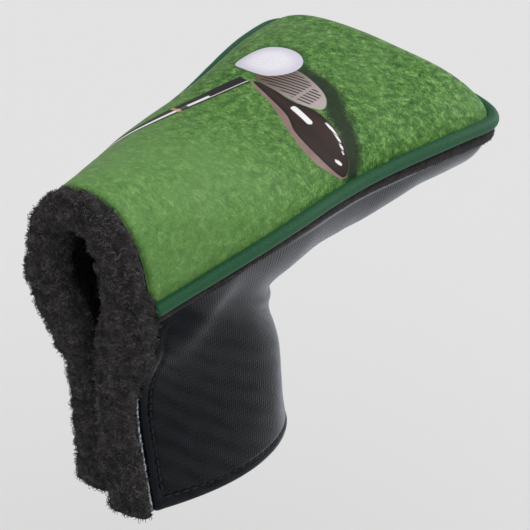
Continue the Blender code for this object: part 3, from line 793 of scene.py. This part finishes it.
for key, values in FLEECE.items():
    MATERIALS[key] = fleece_material(key, *values)
for key, values in SIMPLE.items():
    MATERIALS[key] = simple_material(key, *values)


# ---------------------------------------------------------------- the two flaps
def crease():
    """A point of the crease plane and its normal, which points to the pocket's side."""
    foot = np.array([CREASE_FOOT[0], 0, CREASE_FOOT[1]])
    rise = np.array([CREASE_TOP[0], 0, CREASE_TOP[1]]) - foot
    return foot, unit(np.array([rise[2], 0, -rise[0]]))


def attach(piece, side, slot_name, *nodes):
    """Puts a piece on the pocket when it belongs to neither side, and otherwise bakes its transform where it
    stands. Then hides the CAD nodes that it stands for.
    """
    if side is None:
        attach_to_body(piece, "pocket")
    else:
        point, normal = crease()
        start = point + normal * BLEND_BEFORE
        end = point - normal * BLEND_PAST
        tuple(start * MM)
        tuple(end * MM)
        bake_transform(piece)
    if nodes:
        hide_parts(*nodes)


# ---------------------------------------------------------------- layers
def cloth_area(surface):
    """The area of a surface in square metres, from the cross product of its cells' diagonals."""
    p = surface.points
    cells = np.cross(p[1:, 1:] - p[:-1, :-1], p[1:, :-1] - p[:-1, 1:])
    return float(np.linalg.norm(cells, axis=-1).sum() / 2) * MM**2


def doubled_by(edge):
    """1 beside a turned edge, where the cloth is doubled, and 0 past the fold allowance."""
    return 1 - ease(FOLD_START, FOLD_ALLOWANCE, edge)


def cloth(name, surface, turn, doubled, relief, spare, slot_name, fields, zipped=False):
    """The outer layer: doubled beside its edges, where it falls away, and raised by the relief."""
    fall, radius = turn
    thickness = PANEL_THICKNESS + (2 * FOLD - PANEL_THICKNESS) * doubled
    thickness = np.maximum(thickness, 2 * radius * (fall > 0))
    outer = np.minimum(fall - relief, thickness / 2 + spare)
    return slab(name, surface, outer, thickness - fall * 0.999, MATERIALS[slot_name], fields, zipped)


def build_inner(stems, side, inner, edge):
    """The foam, squeezed thin beside the edges, and the fleece lining. The stems name the CAD nodes."""
    zipped = side is None
    bottom = FOAM_DEPTHS[1]
    squeezed = bottom - FOAM_EDGE
    foam_top = squeezed - (squeezed - FOAM_DEPTHS[0]) * ease(0.0, FOLD_ALLOWANCE, edge)
    foam = slab(stems[0] + "_foam_pad", inner, foam_top, np.full_like(foam_top, bottom), MATERIALS["foam"],
                zipped=zipped)
    attach(foam, side, "foam", *[stem + "_foam" for stem in stems])
    fuzz = 0.45 * ripple(inner.points, 2.6, 3)
    lining = slab(stems[0] + "_fleece", inner, np.full_like(fuzz, LINING_DEPTHS[0]), LINING_DEPTHS[1] + fuzz,
                  MATERIALS["fleece"], zipped=zipped)
    attach(lining, side, "fleece", *[stem + "_lining" for stem in stems])
    area = cloth_area(inner) * LINING_SHARE
    return lining


# ---------------------------------------------------------------- side panels
def row_of_stitches(distance, inset):
    return np.exp(-(((distance - inset) / 0.6) ** 2))


def below_seam(f, wall):
    """0 at the seam and 1 where the rim's stitches have begun."""
    return ease(wall.heel + 3.0, wall.heel + 7.0, f["way"])


def stitch_groove(f, wall):
    """How deep the two stitch rows pull the panel in."""
    beside_rim = row_of_stitches(f["rim"], RIM_STITCH_INSET) * below_seam(f, wall)
    beside_rim = beside_rim * (f["hem"] > STITCH_INSET - 1)
    beside_hem = row_of_stitches(f["hem"], STITCH_INSET) * (f["rim"] > RIM_STITCH_INSET - 1)
    return GROOVE * np.maximum(beside_rim, beside_hem)


def panel_relief(surface, wall):
    """Soft folds and puffs of the outer cloth, as a height over the smooth surface."""
    f = surface.fields
    x, z = surface.points[..., 0], surface.points[..., 2]
    relief = 0.28 * ripple(surface.points + wall.side * 40.0, 17.0, 2)
    start, end = np.array(RIDGE_LINE)
    along = end - start
    share = ((x - start[0]) * along[0] + (z - start[1]) * along[1]) / (along @ along)
    off = ((x - start[0]) * along[1] - (z - start[1]) * along[0]) / np.linalg.norm(along)
    fade = ease(-0.1, 0.25, share) * (1 - ease(0.6, 1.3, share))
    ridge = RIDGE_HEIGHT * np.exp(-((off / RIDGE_WIDTH) ** 2))
    valley = VALLEY_DEPTH * np.exp(-(((off - VALLEY_OFFSET) / RIDGE_WIDTH) ** 2))
    relief = relief + fade * (ridge - valley)
    corner = np.hypot(x - PUCKER_CENTRE[0], z - PUCKER_CENTRE[1])
    puckers = np.sin((x * 0.75 + z * 0.65) * 2 * np.pi / PUCKER_SPACING)
    relief = relief + 0.05 * puckers * np.exp(-((corner / PUCKER_REACH) ** 2))
    puff = np.sin(np.pi * np.clip(f["rim"] / RIM_STITCH_INSET, 0, 1)) * below_seam(f, wall)
    relief = relief + 0.12 * puff + 0.22 * np.sin(np.pi * np.clip(f["hem"] / STITCH_INSET, 0, 1))
    return relief - stitch_groove(f, wall)


def weave_place(surface):
    """Where each point lies in the flat cut, so that the twill runs straight up and along the cloth."""
    x, y, z = (surface.points[..., k] for k in range(3))
    inward = NECK_HALF - np.abs(y)
    blade = ease(16.0, 34.0, x)
    along = x + inward * np.tanh(x / 9.0) * (1 - blade)
    up = z - inward * blade
    return np.stack([along, up, np.zeros_like(up)], -1)


def lining_fur(places, normals, side):
    """How thick the pile is: on the inside of the neck, and denser on the lining's lower edge."""
    inside = (normals[:, 1] * side < -0.15) * (places[:, 0] < 16) * (places[:, 2] < 70)
    lower_edge = (normals[:, 2] < -0.6) * (places[:, 2] < 1.5) * (places[:, 0] > -24)
    return inside + 4.0 * lower_edge


def build_side(side):
    wall = WALLS[side]
    label = SIDES[side]
    surface = wall_surface(side, first_row=2.7)
    f = surface.fields
    on_rim = ease(wall.heel + 0.5, wall.heel + 8.0, f["way"])
    edge_radius = TUCK + (FOLD - TUCK) * on_rim
    turn = turned((f["rim"], edge_radius), (f["hem"], FOLD), (f["foot"], TUCK), (f["way"], TUCK))
    doubled = np.maximum(on_rim * doubled_by(f["rim"]), doubled_by(f["hem"]))
    plain = np.maximum(on_rim * (1 - ease(1.2, 3.2, f["rim"])), 1 - ease(0.4, 1.6, f["hem"]))
    # A painted highlight: a thin line of light along the panel below the seam
    glint = np.exp(-(((f["down"] - GLINT_DROP) / 0.22) ** 2)) * ease(4.0, 22.0, surface.points[..., 0])
    fields = {"weave": weave_place(surface), "plain": plain, "glint": glint}
    relief = panel_relief(surface, wall)
    panel = cloth(label + "_side_cloth", surface, turn, doubled, relief, 0.3, "carbon_panel", fields)
    attach(panel, side, "carbon_panel", label + "_side_panel", label + "_flap_panel")
    cloth_area(surface)

    inner = wall_surface(side, first_row=0.6, step=INNER_STEP)
    edge = np.minimum(inner.fields["rim"], inner.fields["hem"])
    lining = build_inner((label + "_side", label + "_flap"), side, inner, edge)
    hair = pile(label + "_lining_pile", lining, 6500, 21 + side, MATERIALS["fleece_pile"],
                wanted=lambda places, normals: lining_fur(places, normals, side))
    attach(hair, side, "fleece")


# ---------------------------------------------------------------- stitches, the raw edge and the magnets
RAW_EDGE_START = 24.0
RAW_EDGE_SHIFT = np.array([-0.85, 0, 0])
MAGNET_DEPTH = 2.3
MAGNET_PROFILE = ((-0.7, 4.7), (-0.62, 4.95), (0.62, 4.95), (0.7, 4.7))  # heights in a disc and its radii


def frame_on_wall(wall, distance, down):
    """A point of a wall and its outward normal."""
    point = wall.section(distance).at(down)
    along = wall.section(distance + 0.5).at(down) - wall.section(distance - 0.5).at(down)
    below = wall.section(distance).at(down + 0.5) - wall.section(distance).at(down - 0.5)
    normal = np.cross(below, along) * wall.side
    return point, unit(normal)


def stitches(name, places):
    """A row of single stitches: each dips into the cloth at both ends."""
    t = np.linspace(-1, 1, 7)
    profile = 0.10 - 0.42 * t * t - GROOVE * 0.5
    lines = []
    normals = []
    for (point, normal), (after, _) in zip(places[:-1], places[1:]):
        half = (after - point) / 2 * 0.80
        middle = (after + point) / 2
        lines.append([middle + half * s + normal * height for s, height in zip(t, profile)])
        normals.append(np.broadcast_to(normal, (7, 3)))
    radii = 0.30 * np.sqrt(1 - (0.93 * t) ** 2) + 0.04
    points, faces = tubes(lines, radii, sides=8, up=np.array(normals))
    return add_piece(name, points, faces, MATERIALS["thread"])


def build_trim(side):
    """The stitch rows, the raw edge of the cloth behind the rim, and the magnets."""
    wall = WALLS[side]
    label = SIDES[side]
    hem = wall.upper.length - STITCH_INSET
    downs = np.arange(RIM_STITCH_INSET, wall.section(hem).length - 1.0, STITCH_PITCH)
    row = stitches(label + "_hem_stitches", [frame_on_wall(wall, hem, down) for down in downs])
    attach(row, side, "thread", label + "_front_hem_thread", label + "_hem_thread")
    ways = np.arange(wall.heel + 6.0, hem + 0.1, STITCH_PITCH)
    row = stitches(label + "_rim_stitches", [frame_on_wall(wall, way, RIM_STITCH_INSET) for way in ways])
    attach(row, side, "thread", label + "_rim_thread")

    draw = np.random.default_rng(31 + side)
    line = []
    for way in np.arange(wall.heel + RAW_EDGE_START, wall.upper.length - 0.8, 0.45):
        point, normal = frame_on_wall(wall, way, 0.6)
        depth = 0.95 + 0.08 * draw.normal()
        line.append(point + RAW_EDGE_SHIFT - normal * depth + draw.normal(0, 0.05, 3))
    radii = 0.26 + 0.10 * np.abs(draw.normal(size=len(line)))
    points, faces = tubes([line], radii, sides=6, up=(1, 0.2, 0))
    edge = add_piece(label + "_raw_edge", points, faces, MATERIALS["raw_edge"])
    attach(edge, side, "thread")

    for place, height in MAGNET_HEIGHTS.items():
        point, normal = frame_on_wall(wall, wall.upper.length - height, MAGNET_FROM_RIM)
        centre = point - normal * MAGNET_DEPTH
        line = [centre + normal * rise for rise, _ in MAGNET_PROFILE]
        radii = np.array([radius for _, radius in MAGNET_PROFILE])
        points, faces = tubes([line], radii, sides=28, up=(0.1, 0.2, 1))
        disc = add_piece(f"{label}_{place}_magnet_disc", points, faces, MATERIALS["magnet_plate"])
        attach(disc, side, "magnet_plate", f"{label}_{place}_magnet")


# ---------------------------------------------------------------- lid
# The print's shapes, as (along, across) places on the flat lid: the ball's centre and radius, the club's rim,
# its dark crown and its face, the middle of its shade, and the ends and radius of each line of shine
BALL = ((48.5, 10.8), 8.8)
BALL_TIP = (-0.62, 0.78)  # the ball's print is drawn out to a point this way
CLUB = [(36.5, 7.5), (31.4, -3.0), (25.6, -14.0), (24.3, -22.5), (27.0, -28.0), (30.8, -31.6), (34.0, -28.5),
        (36.6, -21.0), (37.6, -13.0), (36.0, -6.0), (37.5, 2.0)]
DARK = [(37.0, 7.0), (33.2, -1.6), (30.4, -9.0), (27.3, -14.0), (26.4, -20.0), (27.6, -26.5), (30.8, -31.3),
        (34.0, -28.5), (36.6, -21.0), (37.6, -13.0), (36.0, -6.0), (37.5, 2.0)]
FACE = [(38.5, 7.5), (36.9, -1.0), (36.6, -8.0), (39.2, -13.3), (43.2, -11.8), (46.4, -6.5), (48.6, 2.5),
        (44.0, 8.0)]
SHADE = [(49.6, 3.0), (48.0, -5.6), (45.6, -11.4), (41.2, -17.0), (38.6, -22.6), (36.2, -27.4), (33.8, -31.0)]
SHINE = [((34.1, -8.4), (33.0, -14.2), 0.85), ((36.5, -17.2), (35.6, -22.0), 0.42),
         ((35.6, -22.0), (33.9, -26.0), 0.36), ((30.7, -26.4), (31.4, -27.8), 0.45)]
SHAFT_START = np.array([37.0, 9.4])
SHAFT_SLOPE = -0.28


def curve_points(corners, closed):
    """A smooth curve through the corners."""
    corners = np.array(corners, float)
    if closed:
        corners = np.concatenate([corners[-2:], corners, corners[:3]])
    curve = smooth(range(len(corners)), corners)
    first, last = (2, len(corners) - 3) if closed else (0, len(corners) - 1)
    return np.array([curve(t) for t in np.linspace(first, last, 12 * (last - first) + 1)])


def distance_to(line, places):
    """The distance from each place to a polyline, and whether it lies inside it."""
    a = line[:-1]
    d = line[1:] - a
    nearest = np.full(len(places), np.inf)
    inside = np.zeros(len(places), bool)
    for start, step in zip(a, d):
        offset = places - start
        share = np.clip(offset @ step / (step @ step), 0, 1)
        nearest = np.minimum(nearest, np.linalg.norm(offset - share[:, None] * step, axis=1))
        if step[1] != 0:
            crossing = (offset[:, 1] / step[1] >= 0) & (offset[:, 1] / step[1] < 1)
            inside ^= crossing & (offset[:, 0] < offset[:, 1] / step[1] * step[0])
    return nearest, inside


def inside_by(corners, places):
    """How far inside a closed outline each place lies, below 0 outside."""
    nearest, inside = distance_to(curve_points(corners, True), places)
    return np.where(inside, nearest, -nearest)


def print_fields(u, v):
    """Where each point lies in the print: its place, and its distance from each shape."""
    places = np.stack([u.ravel(), v.ravel()], -1)
    shape = u.shape
    made = {"sheet": np.stack([u, v, np.zeros_like(u)], -1)}
    for key, corners in (("club", CLUB), ("dark", DARK), ("face", FACE)):
        made[key] = inside_by(corners, places).reshape(shape)
    to_tip = (u - BALL[0][0]) * BALL_TIP[0] + (v - BALL[0][1]) * BALL_TIP[1]
    beside_tip = (u - BALL[0][0]) * BALL_TIP[1] - (v - BALL[0][1]) * BALL_TIP[0]
    pointed = 1 - 0.5 * np.clip(to_tip / BALL[1], 0, 1) ** 1.5
    made["ball"] = BALL[1] - np.hypot(to_tip, beside_tip / pointed)
    made["shade"] = distance_to(curve_points(SHADE, False), places)[0].reshape(shape)
    shine = [radius - distance_to(np.array([start, end]), places)[0] for start, end, radius in SHINE]
    made["shine"] = np.max(shine, axis=0).reshape(shape)
    along = unit(np.array([-1.0, -SHAFT_SLOPE]))
    offset = places - SHAFT_START
    beside = offset @ np.array([along[1], -along[0]])
    made["shaft"] = np.stack([offset @ along, beside, np.zeros(len(places))], -1).reshape(*shape, 3)
    return made


def build_lid():
    surface = lid_surface(first_row=1.8)
    f = surface.fields
    turn = turned((f["heel"], FOLD), (f["edge"], TUCK))
    relief = 0.22 * ripple(surface.points, 24.0, 2) * ease(0, 6, f["edge"])
    fields = print_fields(f["u"], f["v"])
    doubled = doubled_by(f["heel"])
    lid = cloth("printed_cloth", surface, turn, doubled, relief, 0.2, "print_fabric", fields, zipped=True)
    attach(lid, None, "print_fabric", "printed_top_panel")
    cloth_area(surface)
    inner = lid_surface(first_row=0.6, step=INNER_STEP)
    build_inner(("top",), None, inner, np.minimum(inner.fields["heel"], inner.fields["edge"]))


# ---------------------------------------------------------------- piping and welt
def trim_line(drop, out, step=0.9):
    """Points from near heel to toe to far heel, below the seam by the drop and out from the wall."""
    points = []
    for side in (NEAR, FAR):
        wall = WALLS[side]
        seam = np.arange(wall.corner + step, wall.heel, step)
        distances = np.concatenate([np.linspace(0, wall.corner, 40), seam, [wall.heel]])
        line = []
        for distance in distances:
            ahead = wall.upper.at(min(distance + 0.5, wall.heel)) - wall.upper.at(max(distance - 0.5, 0.0))
            outward = unit(np.array([ahead[1], -ahead[0], 0]) * side)
            if distance == 0.0:
                outward = np.array([1.0, 0, 0])
            line.append(wall.upper.at(distance) + out * outward - np.array([0, 0, drop]))
        points.extend(line[::-1] if side == NEAR else line[1:])
    return np.array(points)


def build_seam():
    line = trim_line(-PIPING_RADIUS, PIPING_OUT)
    swell = PIPING_RADIUS + 0.06 * ripple(line, 9.0, 2)
    points, faces = tubes([line], swell, sides=24)
    piping = add_piece("rolled_binding", points, faces, MATERIALS["green_binding"])
    attach(piping, None, "green_binding", "piping_cover")
    line = trim_line(1.3, 0.6)
    growth = ease(-10.0, 75.0, line[:, 0])  # the welt grows toward the toe
    line[:, 2] = line[:, 2] - 0.7 * growth
    wide = 0.8 + 0.25 * growth + 0.08 * ripple(line, 3.0, 2)
    tall = 1.2 + 0.75 * growth + 0.12 * ripple(line + 9, 4.0, 2)
    points, faces = tubes([line], wide, tall, sides=14)
    welt = add_piece("fuzzy_welt", points, faces, MATERIALS["welt"])
    attach(welt, None, "black_trim", "seam_welt")
    fuzz = pile("welt_fuzz", welt, 5200, 5, MATERIALS["fleece_pile"], 0.55, 0.035,
                lambda places, normals: (normals[:, 2] < 0.9) * 1.0)
    attach(fuzz, None, "black_trim")


# ---------------------------------------------------------------- fleece lip
def lip_rings(side, sides=44, step=0.8):
    """Rings round the rolled lip of one side, from the hem up the rim and the arch to the ridge."""
    wall = WALLS[side]
    crown = wall.crown(wall.heel)
    stations = []
    for distance in np.arange(wall.upper.length, wall.heel, -step):
        drop = min(distance - wall.heel, RIM_DROPS[-1])
        shape = (lip_thickness[side](drop), lip_reach(drop), lip_cover(drop), lip_bulge(drop))
        stations.append((wall.upper.at(distance), *shape))
    top = lip_thickness[side](0.0)
    for height in np.linspace(0, crown.length, 58):
        share = ease(0, crown.length, height)
        corner = 1 - ease(0, 9.0, height)
        thickness = top + share * (LIP_ARCH_THICKNESS - top)
        cover = ARCH_COVER + corner * (LIP_COVER[0] - ARCH_COVER)
        stations.append((crown.at(height), thickness, LIP_REACH[0], cover, corner * LIP_BULGE[0]))
    places = np.array([place for place, *_ in stations])
    ahead = np.gradient(places, axis=0)
    for _ in range(6):
        ahead[1:-1] = (ahead[:-2] + 2 * ahead[1:-1] + ahead[2:]) / 4
    ahead[-1] = (0, -side, 0)
    inward = unit(np.cross(ahead, [1.0, 0, 0])) * -side
    turns = np.arange(sides) * 2 * np.pi / sides
    power = 2 / LIP_POWER
    across = np.sign(np.cos(turns)) * np.abs(np.cos(turns)) ** power
    deep = np.sign(np.sin(turns)) * np.abs(np.sin(turns)) ** power
    rings = []
    for (place, thickness, reach, cover, bulge), into in zip(stations, inward):
        middle = place + into * thickness / 2 - np.array([reach / 2 + 0.3, 0, 0])
        ring = middle + np.outer(across, [reach / 2, 0, 0]) + np.outer(deep, into * (thickness / 2 - 0.1))
        outer_side = ease(0.3, -0.9, deep)[:, None]
        ring = ring + outer_side * (np.array([cover, 0, 0]) * ease(-0.6, 0.8, across)[:, None] - into * bulge)
        rings.append(ring)
    return np.array(rings)


def build_lip(side):
    """The fleece roll on one side of the opening, pressed flat against the other side's below the arch."""
    label = SIDES[side]
    rings = lip_rings(side)
    centres = rings.mean(axis=1, keepdims=True)
    outward = unit(rings - centres)
    fuzz = 0.85 * ripple(rings, 3.6, 3) + 0.3 * ripple(rings + 50, 1.3, 2)
    fuzz[-1] = fuzz[-1] * 0.3
    points = rings + outward * fuzz[..., None]
    wall_y = SLIT_Y + side * 0.15
    depth = (points[..., 1] - wall_y) * side
    touching = (points[..., 2] < 62.0) & (depth < PRESSED)
    pressed = PRESSED * np.exp((depth - PRESSED) / PRESSED)
    points[..., 1] = np.where(touching, wall_y + side * np.minimum(pressed, PRESSED), points[..., 1])
    count, sides = points.shape[:2]
    n = np.arange(count * sides).reshape(count, sides)
    after = np.roll(n, -1, axis=1)
    faces = [np.stack([after[:-1], n[:-1], n[1:], after[1:]], -1).reshape(-1, 4), [n[0]], [n[-1, ::-1]]]
    lip = add_piece(label + "_fleece_lip", points.reshape(-1, 3), faces, MATERIALS["fleece"], merge=True)
    nodes = [label + "_flap_lip"] + (["arch_lip"] if side == NEAR else [])
    attach(lip, side, "fleece", *nodes)
    hair = pile(label + "_lip_pile", lip, 7400, 11 + side, MATERIALS["fleece_pile"],
                wanted=lambda places, normals: (normals[:, 0] < 0.75) * 1.0)
    attach(hair, side, "fleece")


# ---------------------------------------------------------------- stage
FLOOR_HALF = 6.0
FLOOR_HEIGHT = -0.16
FLOOR_GREY = 0.785
SKY_STRENGTH = 0.5
# Each sun's direction, strength and spread in degrees
SUNS = {"key": ((-0.25, -0.35, 1.0), 1.2, 50), "side": ((1.0, -0.35, 0.25), 1.6, 50)}
# The camera's angles in degrees, then lengths in metres, and its lens and sensor in millimetres
CAMERA_AZIMUTH = -51.3
CAMERA_ELEVATION = 38.4
CAMERA_TARGET = Vector((0.0, -0.0046, 0.030))
CAMERA_SHIFT = (0.01678, 0.01938)
CAMERA_DISTANCE = 1.3
CAMERA_LENS = 347.0
CAMERA_SENSOR = 36.0


def build_stage():
    """A grey floor, a white sky and two broad suns."""
    scene = bpy.context.scene
    scene.view_settings.view_transform = "Standard"
    world = scene.world or bpy.data.worlds.new("studio")
    scene.world = world
    world.use_nodes = True
    world.node_tree.nodes["Background"].inputs["Color"].default_value = (1.0, 1.0, 1.0, 1)
    world.node_tree.nodes["Background"].inputs["Strength"].default_value = SKY_STRENGTH
    floor_mesh = bpy.data.meshes.new("floor")
    square = ((-1, -1), (1, -1), (1, 1), (-1, 1))
    corners = [(x * FLOOR_HALF, y * FLOOR_HALF, FLOOR_HEIGHT) for x, y in square]
    floor_mesh.from_pydata(corners, [], [(0, 1, 2, 3)])
    g = Graph("floor", 0.9, 0.1)
    g.set("Base Color", (FLOOR_GREY, FLOOR_GREY, FLOOR_GREY))
    floor_mesh.materials.append(g.material)
    floor = bpy.data.objects.new("floor", floor_mesh)
    scene.collection.objects.link(floor)
    for name, (direction, strength, spread) in SUNS.items():
        light = bpy.data.lights.new(name, "SUN")
        light.energy = strength
        light.angle = np.radians(spread)
        lamp = bpy.data.objects.new(name, light)
        lamp.rotation_mode = "QUATERNION"
        lamp.rotation_quaternion = Vector(direction).to_track_quat("Z", "Y")
        scene.collection.objects.link(lamp)


def build_camera():
    azimuth = np.radians(CAMERA_AZIMUTH)
    elevation = np.radians(CAMERA_ELEVATION)
    level = np.cos(elevation)
    back = Vector((np.sin(azimuth) * level, -np.cos(azimuth) * level, np.sin(elevation)))
    right = Vector((np.cos(azimuth), np.sin(azimuth), 0))
    up = back.cross(right)
    aim = CAMERA_TARGET + right * CAMERA_SHIFT[0] + up * CAMERA_SHIFT[1]
    data = bpy.data.cameras.new("camera")
    data.lens = CAMERA_LENS
    data.sensor_width = CAMERA_SENSOR
    data.clip_start = 0.1
    data.clip_end = 30.0
    camera = bpy.data.objects.new("camera", data)
    camera.location = CAMERA_TARGET + back * CAMERA_DISTANCE
    camera.rotation_mode = "QUATERNION"
    camera.rotation_quaternion = (camera.location - aim).to_track_quat("Z", "Y")
    bpy.context.scene.collection.objects.link(camera)
    bpy.context.scene.camera = camera


build_stage()
build_camera()
build_lid()
build_seam()
for SIDE in (NEAR, FAR):
    build_side(SIDE)
    build_trim(SIDE)
    build_lip(SIDE)
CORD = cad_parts["piping_cord"]
CORD.data.materials.clear()
CORD.data.materials.append(MATERIALS["filler_cord"])
